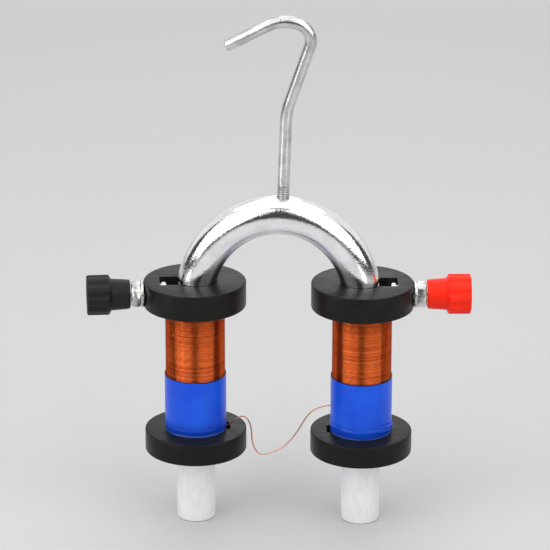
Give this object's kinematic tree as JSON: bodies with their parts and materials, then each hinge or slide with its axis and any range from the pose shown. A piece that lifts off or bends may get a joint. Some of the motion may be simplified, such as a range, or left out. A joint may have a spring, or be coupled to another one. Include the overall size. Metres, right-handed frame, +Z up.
{
  "type": "horseshoe electromagnet",
  "caption": "Horseshoe electromagnet: a bent plated bar with a taped copper coil on each leg, flanged formers, screw terminals for plugs or wires, and a suspension hook.",
  "frame": {"origin": "midway between the two pole faces, on the plane that they stand on", "axes": "+X from the left leg (black terminal) to the right leg (red terminal), +Z up through the arch, the camera is at -Y"},
  "size_m": [0.1594, 0.0424, 0.2184],
  "materials": {
    "chrome": "bright plated, lightly scratched",
    "hook_chrome": "bright plated rod",
    "black_plastic": "satin moulded plastic",
    "former_plastic": "plain moulded tube",
    "enamelled_copper": "enamelled copper wire",
    "link_copper": "enamelled copper wire",
    "blue_tape": "soft insulating tape",
    "nickel": "nickel plated",
    "brass": "plain brass",
    "black_cap": "moulded plastic",
    "red_cap": "moulded plastic"
  },
  "bodies": {
    "core": {"horseshoe_core": "chrome"},
    "hook": {"suspension_hook": "hook_chrome"},
    "left_coil": {"left_former_tube": "former_plastic", "left_top_flange": "black_plastic", "left_lower_flange": "black_plastic", "left_winding": "enamelled_copper", "left_winding_outer_layer": "enamelled_copper", "left_tape": "blue_tape", "left_post_stud": "nickel", "left_post_washer": "nickel", "left_post_nut": "nickel", "left_solder_tag": "brass", "link_wire": "link_copper"},
    "left_sleeve": {"left_cap_sleeve": "brass"},
    "left_cap": {"left_post_cap": "black_cap"},
    "right_coil": {"right_former_tube": "former_plastic", "right_top_flange": "black_plastic", "right_lower_flange": "black_plastic", "right_winding": "enamelled_copper", "right_winding_outer_layer": "enamelled_copper", "right_tape": "blue_tape", "right_post_stud": "nickel", "right_post_washer": "nickel", "right_post_nut": "nickel", "right_solder_tag": "brass"},
    "right_sleeve": {"right_cap_sleeve": "brass"},
    "right_cap": {"right_post_cap": "red_cap"}
  },
  "joints": [
    {"name": "hook_turn", "type": "hinge", "parent": "core", "child": "hook", "pos_m": [0.0018, 0, 0.1426], "axis": [0.0332, 0, 0.9995], "range_deg": [-180, 180]},
    {"name": "left_coil_slide", "type": "slide", "parent": "core", "child": "left_coil", "axis": [0, 0, 1], "range_m": [-0.027, 0]},
    {"name": "left_sleeve_slide", "type": "slide", "parent": "left_coil", "child": "left_sleeve", "axis": [-0.9925, -0.1219, 0], "range_m": [0, 0.004]},
    {"name": "left_cap_turn", "type": "hinge", "parent": "left_sleeve", "child": "left_cap", "pos_m": [-0.06974, -0.00431, 0.10035], "axis": [-0.9925, -0.1219, 0], "range_deg": [0, 1440]},
    {"name": "right_coil_slide", "type": "slide", "parent": "core", "child": "right_coil", "axis": [0, 0, 1], "range_m": [-0.027, 0]},
    {"name": "right_sleeve_slide", "type": "slide", "parent": "right_coil", "child": "right_sleeve", "axis": [0.9986, 0.0523, 0], "range_m": [0, 0.004]},
    {"name": "right_cap_turn", "type": "hinge", "parent": "right_sleeve", "child": "right_cap", "pos_m": [0.06995, 0.00185, 0.10035], "axis": [0.9986, 0.0523, 0], "range_deg": [0, 1440]}
  ],
  "couplings": [
    {"joint": "left_cap_turn", "follows": "left_sleeve_slide", "rad_per_m": 6283},
    {"joint": "right_cap_turn", "follows": "right_sleeve_slide", "rad_per_m": 6283},
    {"joint": "right_coil_slide", "follows": "left_coil_slide", "ratio": 1}
  ]
}
